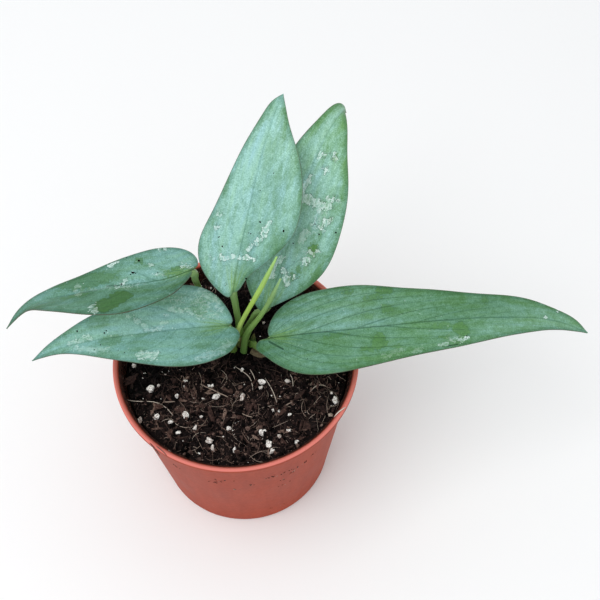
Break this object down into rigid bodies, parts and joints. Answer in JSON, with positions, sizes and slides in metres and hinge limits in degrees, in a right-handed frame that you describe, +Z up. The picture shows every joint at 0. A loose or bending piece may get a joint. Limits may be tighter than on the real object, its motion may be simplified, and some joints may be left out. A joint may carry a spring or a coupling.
{
  "type": "potted scindapsus",
  "caption": "Young silver-leaved scindapsus with arching pointed leaves and rolled new leaves, in a round tapered nursery pot of potting mix.",
  "frame": {"origin": "middle of the pot's underside, on the surface that it stands on", "axes": "+Z up; +X to the right as the picture looks at it, along the long leaf; -Y towards the viewer"},
  "size_m": [0.2838, 0.146, 0.2034],
  "materials": {
    "pot_plastic": "moulded terracotta-coloured polypropylene, satin",
    "potting_mix": "moist peat and bark with white perlite",
    "stem_tissue": "green stem",
    "leaf_tissue": "satin silver-green leaf with darker midrib and blotches",
    "new_leaf_tissue": "smooth lime-green rolled leaf",
    "dry_sheath": "dried papery leaf sheath"
  },
  "bodies": {
    "root": {"pot": "pot_plastic", "potting_mix": "potting_mix", "stem": "stem_tissue", "leaf_upright": "leaf_tissue", "leaf_back": "leaf_tissue", "leaf_upper_left": "leaf_tissue", "leaf_lower_left": "leaf_tissue", "leaf_right": "leaf_tissue", "new_leaf_tall": "new_leaf_tissue", "new_leaf_short": "new_leaf_tissue", "sheath_dry": "dry_sheath"}
  },
  "joints": []
}
